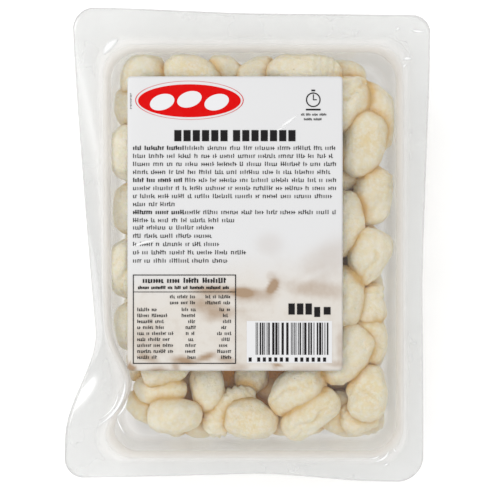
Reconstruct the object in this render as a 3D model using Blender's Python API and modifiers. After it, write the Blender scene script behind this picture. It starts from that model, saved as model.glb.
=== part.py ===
"""Sealed clear tray pack of potato gnocchi: a thermoformed tray, its lidding film, a label and the heap of gnocchi.

Metres, +Z up. The tray stands on its flat base at z = 0, +Y points to the label's top edge, and the
origin is the bottom centre of the whole pack's box. Each piece is one closed body.
"""

import math
import random

import bmesh
import bpy
from mathutils import Euler, Matrix, Vector

MM = 0.001

# Driving sizes of the tray.
TRAY_DEPTH = 34 * MM
TRAY_WALL = 0.6 * MM
RIM_LEFT, RIM_RIGHT = -61 * MM, 66 * MM
RIM_BOTTOM, RIM_TOP = -90.5 * MM, 84.5 * MM
RIM_CORNER = 13 * MM
RIM_BEND = 3 * MM
DRAFT = 3.5 * MM
FLOOR_FILLET = 5 * MM

# The sealed flange, by its four corners before they are rounded: bottom left, bottom right, top right, top left.
FLANGE_CORNERS = [
    Vector((-77.5, -98.6)) * MM,
    Vector((74.2, -100.5)) * MM,
    Vector((77.5, 96.9)) * MM,
    Vector((-73.7, 100.5)) * MM,
]
FLANGE_CORNER_RADII = [8 * MM, 11 * MM, 7.5 * MM, 9 * MM]

# How far the vacuum pulls each side of the flange in, and where along the side, from 0 to 1, it pulls most.
SIDE_BOWS = [(2.6 * MM, 0.55), (1.6 * MM, 0.4), (0.9 * MM, 0.5), (11.8 * MM, 0.71)]
LEFT_SIDE = 3
LEFT_CURL = 7 * MM
FLANGE_WAVE = 0.8 * MM

# The dent near the bottom left corner, where the side wall has buckled inwards.
DENT_DEPTH = 9.3 * MM
DENT_Y = -59 * MM
DENT_SPREAD = 10 * MM

# Lidding film and label.
FILM_GAP = 0.35 * MM
FILM_THICKNESS = 0.3 * MM
FILM_BULGE = 1.4 * MM
FILM_SLOPE = 17 * MM
LABEL_LEFT, LABEL_RIGHT = -50.7 * MM, 40.2 * MM
LABEL_BOTTOM, LABEL_TOP = -53.3 * MM, 71 * MM
LABEL_CORNER = 1.3 * MM
LABEL_THICKNESS = 0.3 * MM

# The gnocchi and the heap that they make.
GNOCCO = Vector((27.5, 18.5, 15.5)) * MM
HEAP_CLEARANCE = 1.1 * MM
HEAP_VOXEL = 4.2 * MM
HEAP_KEPT = 0.55
HEAP_SEED = 5

ARC_POINTS = 6
SIDE_POINTS = 11


def material(name, colour, roughness, alpha=1.0):
    """A Principled material with the piece's own colour."""
    made = bpy.data.materials.new(name)
    made.use_nodes = True
    shader = made.node_tree.nodes["Principled BSDF"]
    shader.inputs["Base Color"].default_value = (*colour, 1)
    shader.inputs["Roughness"].default_value = roughness
    shader.inputs["Metallic"].default_value = 0
    shader.inputs["Alpha"].default_value = alpha
    return made


def add_object(name, collection, build, look):
    """A named object whose mesh is filled by build(bmesh)."""
    mesh = bpy.data.meshes.new(name)
    shape = bmesh.new()
    build(shape)
    shape.to_mesh(mesh)
    shape.free()
    mesh.materials.append(look)
    made = bpy.data.objects.new(name, mesh)
    collection.objects.link(made)
    return made


def side_profile(share, peak):
    """0 at both ends of a side and 1 at its peak: a straight rise to the peak, then a soft fall past it."""
    if share < peak:
        return (share / peak) ** 1.15
    fall = max(0.0, 1 - (share - peak) / (0.95 - peak))
    return fall * fall * (3 - 2 * fall)


def corner_arc(before, corner, after, radius):
    """Points of the arc that rounds a corner, from the side before it to the side after it."""
    back, ahead = (before - corner).normalized(), (after - corner).normalized()
    half = back.angle(ahead) / 2
    centre = corner + (back + ahead).normalized() * radius / math.sin(half)
    start = corner + back * radius / math.tan(half) - centre
    sweep = math.pi - 2 * half
    steps = [sweep * k / (ARC_POINTS - 1) for k in range(ARC_POINTS)]
    return [centre + Matrix.Rotation(a, 2) @ start for a in steps]


def outline(corners, radii, bows=None):
    """A closed outline, anticlockwise, with rounded corners and sides that bow inwards.

    Every outline has the same number of points in the same order, so that any two can be lofted.
    """
    arcs = [corner_arc(corners[i - 1], corners[i], corners[(i + 1) % 4], radii[i]) for i in range(4)]
    points = []
    for i, arc in enumerate(arcs):
        points += arc
        start, end = arc[-1], arcs[(i + 1) % 4][0]
        inward = Vector((start.y - end.y, end.x - start.x)).normalized()
        for k in range(1, SIDE_POINTS + 1):
            share = k / (SIDE_POINTS + 1)
            # The left side runs from top to bottom, which is also how its peak is counted.
            bow = bows[i][0] * side_profile(share, bows[i][1]) if bows else 0
            points.append(start.lerp(end, share) + inward * bow)
    return points


def dent_reach(distance):
    """How much of the dent's depth is left, from 1 to 0, at a distance from its middle."""
    return math.exp(-0.5 * (distance / DENT_SPREAD) ** 2)


def dented(point, depth):
    """The point moved in by the dent, if it is on the cavity's left side."""
    if point.x > 0:
        return point
    return point + Vector((depth * dent_reach(point.y - DENT_Y), 0))


def cavity_ring(inset, height):
    """The cavity's outline at one height, inset from its rim, with the dent fading towards the floor."""
    left, right = RIM_LEFT + inset, RIM_RIGHT - inset
    bottom, top = RIM_BOTTOM + inset, RIM_TOP - inset
    corners = [Vector(p) for p in ((left, bottom), (right, bottom), (right, top), (left, top))]
    flat = outline(corners, [max(RIM_CORNER - inset * 0.4, FLOOR_FILLET)] * 4)
    depth = DENT_DEPTH * (0.35 + 0.65 * height / TRAY_DEPTH)
    return [dented(p, depth).to_3d() + Vector((0, 0, height)) for p in flat]


def flange_ring(share):
    """The flange's upper surface, from the rim at share 0 to its trimmed edge at share 1.

    The left side curls down, as far as it is pulled in, and all of it waves a little.
    """
    rim = cavity_ring(0, TRAY_DEPTH)
    edge = outline(FLANGE_CORNERS, FLANGE_CORNER_RADII, SIDE_BOWS)
    bow, peak = SIDE_BOWS[LEFT_SIDE]
    top, bottom = FLANGE_CORNERS[3].y, FLANGE_CORNERS[0].y
    ring = []
    for inner, outer in zip(rim, edge):
        down = max(0.0, min(1.0, (top - outer.y) / (top - bottom)))
        curl = LEFT_CURL * side_profile(down, peak) if outer.x < RIM_LEFT else 0
        wave = FLANGE_WAVE * math.sin(outer.x / (26 * MM) + 1) * math.sin(outer.y / (31 * MM))
        drop = (curl - wave) * share**1.5
        ring.append(inner.lerp(outer.to_3d() + Vector((0, 0, TRAY_DEPTH)), share) - Vector((0, 0, drop)))
    return ring


def quarter_bend(steps, radius):
    """(distance outwards, height) along a quarter of a circle that starts level and ends upright."""
    angles = [math.pi / 2 * k / steps for k in range(steps + 1)]
    return [(radius * math.sin(a), radius * (1 - math.cos(a))) for a in angles]


def tray_rings():
    """The tray's inner surface as rings, from its floor up the wall, over the rim and out to the edge."""
    rings = []
    for out, up in quarter_bend(3, FLOOR_FILLET):
        rings.append(cavity_ring(RIM_BEND + DRAFT + FLOOR_FILLET - out, TRAY_WALL + up))
    rings.append(cavity_ring(RIM_BEND + DRAFT / 2, TRAY_DEPTH / 2))
    for inset, down in reversed(quarter_bend(2, RIM_BEND)):
        rings.append(cavity_ring(inset, TRAY_DEPTH - down))
    rings += [flange_ring(share) for share in (0.34, 0.67, 1)]
    return rings


def loft(shape, rings):
    """Joins each ring of points to the next with quads, and closes the first one with a flat face."""
    rows = [[shape.verts.new(p) for p in ring] for ring in rings]
    for low, high in zip(rows, rows[1:]):
        for k in range(len(low)):
            after = (k + 1) % len(low)
            shape.faces.new((low[k], high[k], high[after], low[after]))
    shape.faces.new(rows[0])
    bmesh.ops.recalc_face_normals(shape, faces=shape.faces)
    top = max(shape.faces, key=lambda face: face.calc_area())
    if top.normal.z < 0:
        bmesh.ops.reverse_faces(shape, faces=shape.faces)


def thicken(piece, thickness, offset, even=False):
    """A Solidify modifier. Offset -1 grows the wall below the modelled surface, and 1 above it."""
    solid = piece.modifiers.new("thickness", "SOLIDIFY")
    solid.thickness = thickness
    solid.offset = offset
    solid.use_even_offset = even


def film_height(x, y):
    """The film's lower surface: it slopes up from the rim to the level that the gnocchi hold it at."""
    inset = min(x - RIM_LEFT, RIM_RIGHT - x, y - RIM_BOTTOM, RIM_TOP - y)
    share = max(0.0, min(1.0, inset / FILM_SLOPE))
    return TRAY_DEPTH + FILM_GAP + FILM_BULGE * share * share * (3 - 2 * share)


def film_rings():
    """The film's lower surface, from the edge of its level middle out to the flange's edge."""
    rings = []
    for share in (1.3, 1, 0.65, 0.35):
        flat = cavity_ring(FILM_SLOPE * share, TRAY_DEPTH)
        rings.append([Vector((p.x, p.y, film_height(p.x, p.y))) for p in flat])
    lift = Vector((0, 0, FILM_GAP))
    rings += [[p + lift for p in flange_ring(share)] for share in (0, 0.34, 0.67, 1)]
    return rings


def label_rings():
    """The label's lower surface: rounded rectangles that follow the film's dome."""
    middle = Vector(((LABEL_LEFT + LABEL_RIGHT) / 2, (LABEL_BOTTOM + LABEL_TOP) / 2))
    half = Vector(((LABEL_RIGHT - LABEL_LEFT) / 2, (LABEL_TOP - LABEL_BOTTOM) / 2))
    signs = ((-1, -1), (1, -1), (1, 1), (-1, 1))
    lift = FILM_THICKNESS + FILM_GAP
    rings = []
    for share in (0.7, 0.85, 1):
        corners = [middle + Vector((half.x * sx, half.y * sy)) * share for sx, sy in signs]
        flat = outline(corners, [LABEL_CORNER * share] * 4)
        rings.append([Vector((p.x, p.y, film_height(p.x, p.y) + lift)) for p in flat])
    return rings


def add_lump(shape, centre, turn, size):
    """One gnocco as a smooth oval, lying along its turn."""
    matrix = Matrix.Translation(centre) @ Euler(turn).to_matrix().to_4x4() @ Matrix.Diagonal((*size, 1))
    bmesh.ops.create_icosphere(shape, subdivisions=3, radius=0.5, matrix=matrix)


def gnocchi_row(count, y, height, inset, offset, chance):
    """(centre, turn, size) for a row of gnocchi across the tray, each a little unlike the next."""
    left, right = RIM_LEFT + inset, RIM_RIGHT - inset
    left += DENT_DEPTH * dent_reach(max(0.0, abs(y - DENT_Y) - GNOCCO.y / 2))
    pitch = (right - left) / count
    for k in range(count):
        size = GNOCCO * chance.uniform(0.92, 1.02)
        swing = chance.uniform(-0.3, 0.3)
        x = left + pitch * (k + 0.5) + offset * pitch
        yield Vector((x, y + chance.uniform(-1, 1) * MM, height)), (0, 0, swing), size


def fill_heap(shape):
    """Two layers of gnocchi in staggered rows round a solid middle, all inside the tray's wall."""
    chance = random.Random(HEAP_SEED)
    half = GNOCCO / 2
    layers = [
        (TRAY_WALL + HEAP_CLEARANCE + half.z, RIM_BEND + DRAFT + HEAP_CLEARANCE, 9),
        (TRAY_DEPTH - HEAP_CLEARANCE - half.z, RIM_BEND + DRAFT * 0.3 + HEAP_CLEARANCE, 9),
    ]
    for layer, (height, inset, rows) in enumerate(layers):
        low = RIM_BOTTOM + inset + half.y + FLOOR_FILLET * 0.3
        high = RIM_TOP - inset - half.y
        for row in range(rows):
            y = low + (high - low) * row / (rows - 1)
            stagger = 0.035 if (row + layer) % 2 else -0.035
            for centre, turn, size in gnocchi_row(4, y, height, inset, stagger, chance):
                add_lump(shape, centre, turn, size)
    middle = Vector(((RIM_LEFT + RIM_RIGHT) / 2 + 3 * MM, (RIM_BOTTOM + RIM_TOP) / 2, TRAY_DEPTH / 2))
    reach = Vector((RIM_RIGHT - RIM_LEFT - 32 * MM, RIM_TOP - RIM_BOTTOM - 26 * MM, TRAY_DEPTH - 14 * MM))
    block = Matrix.Translation(middle) @ Matrix.Diagonal((*reach, 1))
    bmesh.ops.create_cube(shape, size=1, matrix=block)


def merge_heap(heap):
    """Makes the overlapping ovals one lumpy body, with no more faces than its lumps need."""
    union = heap.modifiers.new("one_body", "REMESH")
    union.mode = "VOXEL"
    union.voxel_size = HEAP_VOXEL
    fewer = heap.modifiers.new("fewer_faces", "DECIMATE")
    fewer.ratio = HEAP_KEPT


def main():
    for old in list(bpy.data.objects):
        bpy.data.objects.remove(old)
    pack = bpy.data.collections.new("potato_gnocchi_pack")
    bpy.context.scene.collection.children.link(pack)

    clear = material("clear_plastic", (0.86, 0.86, 0.84), 0.25, 0.45)
    paper = material("label_paper", (0.79, 0.79, 0.8), 0.4)
    dough = material("potato_dough", (0.8, 0.7, 0.48), 0.7)

    tray = add_object("tray", pack, lambda shape: loft(shape, tray_rings()), clear)
    thicken(tray, TRAY_WALL, -1, even=True)
    film = add_object("lidding_film", pack, lambda shape: loft(shape, film_rings()), clear)
    thicken(film, FILM_THICKNESS, 1)
    label = add_object("label", pack, lambda shape: loft(shape, label_rings()), paper)
    thicken(label, LABEL_THICKNESS, 1)
    heap = add_object("gnocchi_heap", pack, fill_heap, dough)
    merge_heap(heap)
    for piece in (tray, film, heap):
        piece.data.shade_smooth()
        piece.data.set_sharp_from_angle(angle=math.radians(40))


main()
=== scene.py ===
"""A sealed clear tray pack of potato gnocchi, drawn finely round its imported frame.

Lengths are in metres; MM turns millimetres into them. +Z is up out of the label, +Y points to the
label's top edge and +X to its right.
"""

import math

import bpy
import numpy as np
from bpy.props import FloatProperty, FloatVectorProperty, IntProperty, PointerProperty
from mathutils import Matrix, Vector


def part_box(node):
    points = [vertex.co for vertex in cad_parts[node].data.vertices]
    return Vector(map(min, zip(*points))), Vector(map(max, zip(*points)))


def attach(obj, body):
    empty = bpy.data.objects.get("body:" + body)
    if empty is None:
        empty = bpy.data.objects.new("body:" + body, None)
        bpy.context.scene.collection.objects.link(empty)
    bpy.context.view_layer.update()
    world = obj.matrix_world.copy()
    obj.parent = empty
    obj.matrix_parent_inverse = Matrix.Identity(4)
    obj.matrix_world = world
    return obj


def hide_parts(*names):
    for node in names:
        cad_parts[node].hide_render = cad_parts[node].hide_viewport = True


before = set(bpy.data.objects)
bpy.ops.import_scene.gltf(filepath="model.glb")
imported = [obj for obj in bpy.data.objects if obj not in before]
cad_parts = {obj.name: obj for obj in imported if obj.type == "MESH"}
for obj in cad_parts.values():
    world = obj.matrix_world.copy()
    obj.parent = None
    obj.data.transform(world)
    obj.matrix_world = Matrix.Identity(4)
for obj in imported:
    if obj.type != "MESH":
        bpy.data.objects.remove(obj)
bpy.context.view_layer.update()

bl_info = {
    "name": "Gnocchi tray pack",
    "version": (1, 0, 0),
    "blender": (4, 5, 0),
    "location": "View3D > Sidebar > Gnocchi pack",
    "description": "Builds the fine surfaces, materials and stage of a sealed tray pack of potato gnocchi",
    "category": "Add Mesh",
}

MM = 0.001

# The tray's main lines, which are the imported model's own.
TRAY_DEPTH = 34 * MM
TRAY_WALL = 0.6 * MM
RIM_LEFT, RIM_RIGHT = -61 * MM, 66 * MM
RIM_BOTTOM, RIM_TOP = -90.5 * MM, 84.5 * MM
RIM_CORNER = 13 * MM
RIM_BEND = 3 * MM
DRAFT = 3.5 * MM
FLOOR_FILLET = 5 * MM
FLANGE_CORNERS = np.array([(-77.5, -98.6), (74.2, -100.5), (77.5, 96.9), (-73.7, 100.5)]) * MM
FLANGE_CORNER_RADII = np.array([8, 11, 7.5, 9]) * MM
# For each side of the flange: how far it is pulled in, and where along it, from 0 to 1, it is pulled most.
SIDE_BOWS = [(2.6 * MM, 0.55), (1.6 * MM, 0.4), (0.9 * MM, 0.5), (11.8 * MM, 0.71)]
LEFT_SIDE = 3
LEFT_CURL = 7 * MM
FLANGE_WAVE = 0.8 * MM
DENT_DEPTH = 9.3 * MM
DENT_Y = -59 * MM
DENT_SPREAD = 10 * MM
# The corners' radius shrinks by this share of the inset, and the gnocchi keep this far from the wall.
CORNER_SHRINK = 0.4
WALL_CLEARANCE = 0.25 * MM
FILM_GAP = 0.35 * MM
FILM_BULGE = 1.4 * MM
FILM_SLOPE = 17 * MM

LABEL_LOW, LABEL_HIGH = (Vector(corner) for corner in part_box("label"))
LABEL_CORNER = 1.3 * MM

# Gnocchi that lie against the film and show round the label: (x, y, length, width, turn, level, look),
# millimetres and degrees. Level 0 touches the film, 1 lies half a gnocco lower and 2 is deeper still.
TOP_ROW = [
    (-44.3, 73.2, 25, 16.5, 12, 1, "bent"),
    (-24.0, 72.2, 27, 18, -14, 0, "dimple"),
    (-10.2, 74.0, 18, 15.5, -40, 1, "plain"),
    (3.8, 73.4, 20, 16, 30, 1, "plain"),
    (24.4, 73.0, 33.5, 19.5, -4, 0, "ridged"),
    (41.5, 73.2, 20, 13.5, -24, 2, "plain"),
]
RIGHT_SIDE = [
    (42.3, 61.2, 28, 20, 52, 0, "crease"),
    (54.2, 54.2, 35, 16.5, -84, 1, "bent"),
    (49.8, 43.4, 31, 18.8, 74, 0, "dimple"),
    (53.8, 21.4, 29, 16.0, 84, 1, "ridged"),
    (41.3, 8.5, 29.5, 18, 78, 0, "plain"),
    (42.0, 29.5, 18, 14, 30, 2, "plain"),
    (51.4, -5.4, 26, 18, 74, 0, "wrinkled"),
    (40.8, -22.2, 28.5, 18, 84, 0, "plain"),
    (52.4, -25.2, 21.5, 15, 90, 1, "ridged"),
    (52.8, -41.5, 24, 14.5, 84, 1, "plain"),
    (42.5, -48.2, 30, 18.5, 56, 0, "plain"),
]
BOTTOM_ROW = [
    (-35.0, -52.5, 23, 16, 4, 0, "plain"),
    (-37.6, -61.8, 25.5, 16.5, -4, 1, "nib"),
    (-45.0, -69.5, 19, 13.5, -20, 2, "plain"),
    (-31.0, -73.3, 25, 17.5, -8, 0, "plain"),
    (-17.5, -61.0, 24, 14.5, 92, 1, "nib"),
    (-8.0, -71.0, 30, 15, 42, 1, "scalloped"),
    (1.5, -75.2, 25, 17, -10, 0, "dimple"),
    (1.7, -57.0, 17, 13.5, 12, 2, "plain"),
    (22.0, -61.6, 29.5, 20, 36, 0, "crease"),
    (26.6, -72.9, 30, 17, 40, 0, "wrinkled"),
    (38.5, -72.0, 20, 15, 70, 2, "plain"),
    (48.5, -73.8, 19, 15, 10, 1, "wrinkled"),
    (51.5, -63.5, 26, 17.8, 82, 0, "dimple"),
]
LEFT_SIDE_ROW = [
    (-48.2, 59.4, 21, 17, 6, 1, "plain"),
    (-50.2, 39.2, 26, 18.5, 88, 0, "plain"),
    (-49.6, 15.4, 24, 18, 82, 1, "plain"),
    (-50.4, -9.6, 29, 19, 92, 0, "crease"),
    (-48.6, -35.0, 24, 18, 92, 1, "plain"),
    (-46.6, -51.5, 18, 14, 100, 2, "plain"),
]


# ---------------------------------------------------------------- what a user would change


class GnocchiSizes(bpy.types.PropertyGroup):
    length: FloatProperty(
        name="Length",
        description="Length of a usual gnocco",
        default=27 * MM,
        unit="LENGTH",
        subtype="DISTANCE",
    )
    width: FloatProperty(
        name="Width",
        description="Width of a usual gnocco",
        default=18 * MM,
        unit="LENGTH",
        subtype="DISTANCE",
    )
    flatness: FloatProperty(
        name="Height share", description="Height as a share of width", default=0.86, subtype="FACTOR"
    )
    lumps: FloatProperty(
        name="Lumps", description="Height of the soft lumps on the dough", default=0.58 * MM, unit="LENGTH"
    )
    crease: FloatProperty(
        name="Crease depth", description="Depth of a fold left by the roller", default=1.3 * MM, unit="LENGTH"
    )
    ridge: FloatProperty(
        name="Ridge height",
        description="Height of the ridges on a grooved gnocco",
        default=0.42 * MM,
        unit="LENGTH",
    )
    seed: IntProperty(name="Seed", description="Picks the hidden gnocchi's places", default=11, min=0)


class PackSizes(bpy.types.PropertyGroup):
    film: FloatProperty(
        name="Film", description="Thickness of the lidding film", default=0.12 * MM, unit="LENGTH"
    )
    label: FloatProperty(
        name="Label", description="Thickness of the label", default=0.15 * MM, unit="LENGTH"
    )
    ink: FloatProperty(
        name="Ink", description="How far the print stands off the label", default=0.05 * MM, unit="LENGTH"
    )
    bulge: FloatProperty(
        name="Wall bulge",
        description="How far the full tray's wall bows out",
        default=1.1 * MM,
        unit="LENGTH",
    )
    slack: FloatProperty(
        name="Slack", description="Height of the film's soft waves", default=0.22 * MM, unit="LENGTH"
    )


def colour_property(name, description, default):
    """A colour in linear light that the panel can change."""
    return FloatVectorProperty(
        name=name, description=description, default=default, subtype="COLOR", size=3, min=0, max=1
    )


class PackColours(bpy.types.PropertyGroup):
    dough: colour_property("Dough", "Pale floury dough", (0.93, 0.86, 0.66))
    # Random warm tone of the dough, and the painted shade in its dimples, grooves and creases and near its
    # neighbours.
    dough_tone_and_shade: colour_property("Warm dough", "Thumbed and shaded dough", (0.88, 0.73, 0.42))
    # Painted shade: the ochre that the dough turns where two gnocchi touch.
    dough_pressed: colour_property("Pressed dough", "Dough where two gnocchi meet", (0.71, 0.43, 0.11))
    # Painted shade: the orange-brown of dough deep in the heap, where little light reaches.
    dough_deep: colour_property("Deep dough", "Damp dough low down in the heap", (0.64, 0.28, 0.03))
    flour: colour_property("Flour", "Dusting flour", (0.96, 0.92, 0.81))
    plastic: colour_property("Plastic", "Milkiness of the clear plastic", (0.755, 0.76, 0.748))
    # Painted reflection: the beige that the dough lends the tray's rim.
    rim: colour_property("Rim", "Tint that the dough gives to the tray's rim", (0.84, 0.77, 0.68))
    label: colour_property("Label", "Label stock", (0.7, 0.7, 0.705))
    picture: colour_property("Picture", "Faded ground of the label's lower half", (0.64, 0.57, 0.47))
    picture_dark: colour_property("Picture shade", "Shade in the label's lower half", (0.3, 0.17, 0.07))
    red: colour_property("Red", "Red field of the label", (0.66, 0.0, 0.0))
    ink: colour_property("Ink", "Dark print", (0.012, 0.011, 0.012))


class StageSettings(bpy.types.PropertyGroup):
    lens: FloatProperty(name="Lens", description="Focal length in millimetres", default=120, unit="CAMERA")
    seen_width: FloatProperty(
        name="Seen width",
        description="Width that the camera sees at the flange",
        default=211.8 * MM,
        unit="LENGTH",
    )
    key_power: FloatProperty(
        name="Key light", description="Power of the upper left lamp", default=2.0, unit="POWER"
    )
    fill_power: FloatProperty(
        name="Fill light", description="Power of the overhead lamp", default=1.3, unit="POWER"
    )
    surround: FloatProperty(
        name="Surround", description="Strength of the white surround", default=0.8, min=0
    )
    glow: FloatProperty(
        name="Floor glow", description="Light that the white floor gives off", default=0.2, min=0
    )


# ---------------------------------------------------------------- surfaces


def unit(vector):
    """The vector at length 1."""
    return vector / np.linalg.norm(vector)


def smooth_step(share):
    """0 below 0, 1 above 1, and a soft rise between: 3s^2 - 2s^3."""
    share = np.clip(share, 0, 1)
    return share * share * (3 - 2 * share)


def ring_quads(rows, around):
    """Quads between each ring of points and the next one out, as an array of vertex numbers."""
    ring = np.arange(rows - 1)[:, None] * around
    step = np.arange(around)[None, :]
    after = (step + 1) % around
    low, high = ring + step, ring + after
    return np.stack([low, low + around, high + around, high], axis=-1).reshape(-1, 4)


def ring_surface(rings, low_pole=None, high_pole=None, **values):
    """A surface through rings of points (rows, around, 3), closed to a pole at either end by a fan.

    values are numbers for each ring point, which become attributes; a pole takes its ring's mean.
    """
    rows, around = rings.shape[:2]
    points = [rings.reshape(-1, 3)]
    numbers = {name: [grid.reshape(-1)] for name, grid in values.items()}
    tris = []
    step = np.arange(around)
    after = (step + 1) % around
    count = rows * around
    for pole, row in ((low_pole, 0), (high_pole, rows - 1)):
        if pole is None:
            continue
        points.append(np.asarray(pole, float).reshape(1, 3))
        tip = np.full(around, count)
        here, ahead = row * around + step, row * around + after
        # The low fan runs one way round and the high fan the other, so that both face outwards.
        fan = [here, tip, ahead] if row else [tip, here, ahead]
        tris.append(np.stack(fan, axis=-1))
        for name, grid in values.items():
            numbers[name].append(np.array([grid[row].mean()]))
        count += 1
    return {
        "points": np.concatenate(points),
        "quads": ring_quads(rows, around),
        "tris": np.concatenate(tris) if tris else np.zeros((0, 3), int),
        "values": {name: np.concatenate(parts) for name, parts in numbers.items()},
    }


def ring_numbers(rings):
    """For each ring point, which ring it is in, counted from 0."""
    return np.arange(len(rings))[:, None] * np.ones((1, rings.shape[1]))


def joined(surfaces):
    """Several surfaces as one, with their vertex numbers shifted to follow on."""
    starts = np.cumsum([0] + [len(s["points"]) for s in surfaces[:-1]])
    names = surfaces[0]["values"].keys()
    return {
        "points": np.concatenate([s["points"] for s in surfaces]),
        "quads": np.concatenate([s["quads"] + start for s, start in zip(surfaces, starts)]),
        "tris": np.concatenate([s["tris"] + start for s, start in zip(surfaces, starts)]),
        "values": {name: np.concatenate([s["values"][name] for s in surfaces]) for name in names},
    }


def mesh_object(name, surface, material, smooth=True):
    """An object at the origin that holds a surface, with its attributes and one material."""
    mesh = bpy.data.meshes.new(name)
    quads, tris = surface["quads"], surface["tris"]
    mesh.vertices.add(len(surface["points"]))
    mesh.vertices.foreach_set("co", surface["points"].astype(np.float32).ravel())
    corners = np.concatenate([quads.ravel(), tris.ravel()]).astype(np.int32)
    sizes = np.concatenate([np.full(len(quads), 4), np.full(len(tris), 3)])
    mesh.loops.add(len(corners))
    mesh.loops.foreach_set("vertex_index", corners)
    mesh.polygons.add(len(sizes))
    mesh.polygons.foreach_set("loop_start", np.concatenate([[0], np.cumsum(sizes)[:-1]]).astype(np.int32))
    mesh.update(calc_edges=True)
    if mesh.validate():
        raise RuntimeError(f"{name} has faces that don't hold")
    for key, numbers in surface["values"].items():
        mesh.attributes.new(key, "FLOAT", "POINT").data.foreach_set("value", numbers.astype(np.float32))
    mesh.materials.append(material)
    if smooth:
        mesh.shade_smooth()
    else:
        mesh.shade_flat()
    made = bpy.data.objects.new(name, mesh)
    bpy.context.scene.collection.objects.link(made)
    return made


def thicken(piece, thickness, offset):
    """A Solidify modifier: offset -1 grows below the surface, and 1 above it."""
    solid = piece.modifiers.new("thickness", "SOLIDIFY")
    solid.thickness = thickness
    solid.offset = offset


def soft_waves(x, y, wavelength, seed, count=7):
    """Low waves over a plane, between about -1 and 1: a sum of sines in seeded directions."""
    chance = np.random.default_rng(seed)
    total = np.zeros(np.broadcast(x, y).shape)
    for _ in range(count):
        turn, phase = chance.uniform(0, 2 * math.pi, 2)
        pace = 2 * math.pi / (wavelength * chance.uniform(0.7, 1.5))
        total += np.sin((x * math.cos(turn) + y * math.sin(turn)) * pace + phase)
    return total / math.sqrt(count * 2)


# ---------------------------------------------------------------- tray and film outlines


def side_profile(share, peak):
    """0 at both ends of a side and 1 at its peak: a nearly straight rise, then a soft fall."""
    rise = (np.clip(share, 0, 1) / peak) ** 1.15
    fall = smooth_step(1 - (share - peak) / (0.95 - peak))
    return np.where(share < peak, rise, fall)


def corner_arc(before, corner, after, radius, steps):
    """Points of the arc that rounds a corner, each found by turning its start about its centre."""
    back, ahead = unit(before - corner), unit(after - corner)
    half = math.acos(float(back @ ahead)) / 2
    centre = corner + unit(back + ahead) * radius / math.sin(half)
    start = corner + back * radius / math.tan(half) - centre
    angles = np.linspace(0, math.pi - 2 * half, steps)
    cos, sin = np.cos(angles), np.sin(angles)
    return centre + np.stack([cos * start[0] - sin * start[1], sin * start[0] + cos * start[1]], axis=-1)


def outline(corners, radii, bows=None, arc=16, side=56):
    """A closed anticlockwise outline with rounded corners and sides that bow inwards.

    Its points always come in the same number and order, so any two outlines can be joined.
    """
    arcs = [corner_arc(corners[i - 1], corners[i], corners[(i + 1) % 4], radii[i], arc) for i in range(4)]
    share = (np.arange(1, side + 1) / (side + 1))[:, None]
    parts = []
    for i in range(4):
        start, end = arcs[i][-1], arcs[(i + 1) % 4][0]
        inward = unit(np.array([start[1] - end[1], end[0] - start[0]]))
        bow = bows[i][0] * side_profile(share, bows[i][1]) if bows else 0
        parts += [arcs[i], start + (end - start) * share + inward * bow]
    return np.concatenate(parts)


def dent_reach(distance):
    """How much of the dent is left, from 1 to 0, at a distance from its middle: a bell curve."""
    return np.exp(-0.5 * (distance / DENT_SPREAD) ** 2)


def dent_push(x, y, height):
    """How far the buckle pushes the left wall in, at a place and height: most at the rim."""
    return DENT_DEPTH * (0.35 + 0.65 * height / TRAY_DEPTH) * dent_reach(y - DENT_Y) * (x < 0)


def rim_inset(x, y):
    """How far a place lies inside the nearest of the rim's four sides."""
    across = np.minimum(x - RIM_LEFT, RIM_RIGHT - x)
    return np.minimum(across, np.minimum(y - RIM_BOTTOM, RIM_TOP - y))


def flange_wave(x, y):
    """The flange's long soft waves: a sine along each axis, multiplied."""
    return FLANGE_WAVE * np.sin(x / (26 * MM) + 1) * np.sin(y / (31 * MM))


def cavity_ring(inset, height):
    """The cavity's outline at one height, inset from its rim, with the buckled wall on its left."""
    left, right = RIM_LEFT + inset, RIM_RIGHT - inset
    bottom, top = RIM_BOTTOM + inset, RIM_TOP - inset
    corners = np.array([(left, bottom), (right, bottom), (right, top), (left, top)])
    flat = outline(corners, [max(RIM_CORNER - inset * CORNER_SHRINK, FLOOR_FILLET)] * 4)
    push = dent_push(flat[:, 0], flat[:, 1], height)
    return np.column_stack([flat[:, 0] + push, flat[:, 1], np.full(len(flat), height)])


def wall_inset(height):
    """The wall's distance inside the rim at a height: drafted, and bowed out between floor and rim."""
    bulge = bpy.context.scene.pack_sizes.bulge
    foot = TRAY_WALL + FLOOR_FILLET
    share = np.clip((height - foot) / (TRAY_DEPTH - RIM_BEND - foot), 0, 1)
    return RIM_BEND + DRAFT * (1 - share) - bulge * np.sin(math.pi * share) ** 0.7


def press_in(points):
    """Points past the tray's wall are moved back to it, as soft dough is pressed flat by it.

    The cavity at each height is a rectangle with rounded corners; a point's depth in it is its distance
    to that outline, and the way back is straight across the nearest side or towards the corner's centre.
    The floor isn't looked at, so a point can still be below it.
    """
    x, y, z = points.T
    push = dent_push(x, y, z)
    middle = np.array([(RIM_LEFT + RIM_RIGHT) / 2, (RIM_BOTTOM + RIM_TOP) / 2])
    half = np.array([(RIM_RIGHT - RIM_LEFT) / 2, (RIM_TOP - RIM_BOTTOM) / 2])
    inset = wall_inset(z) + WALL_CLEARANCE
    radius = RIM_CORNER - inset * CORNER_SHRINK
    flat = np.column_stack([x - push, y]) - middle
    past = np.abs(flat) - (half - inset[:, None] - radius[:, None])
    corner = np.clip(past, 0, None)
    reach = np.linalg.norm(corner, axis=-1)
    depth = reach - radius
    way = corner / np.maximum(reach, 1e-9)[:, None] * np.sign(flat)
    flat -= way * np.clip(depth, 0, None)[:, None]
    return np.column_stack([flat[:, 0] + middle[0] + push, flat[:, 1] + middle[1], z])


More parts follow.
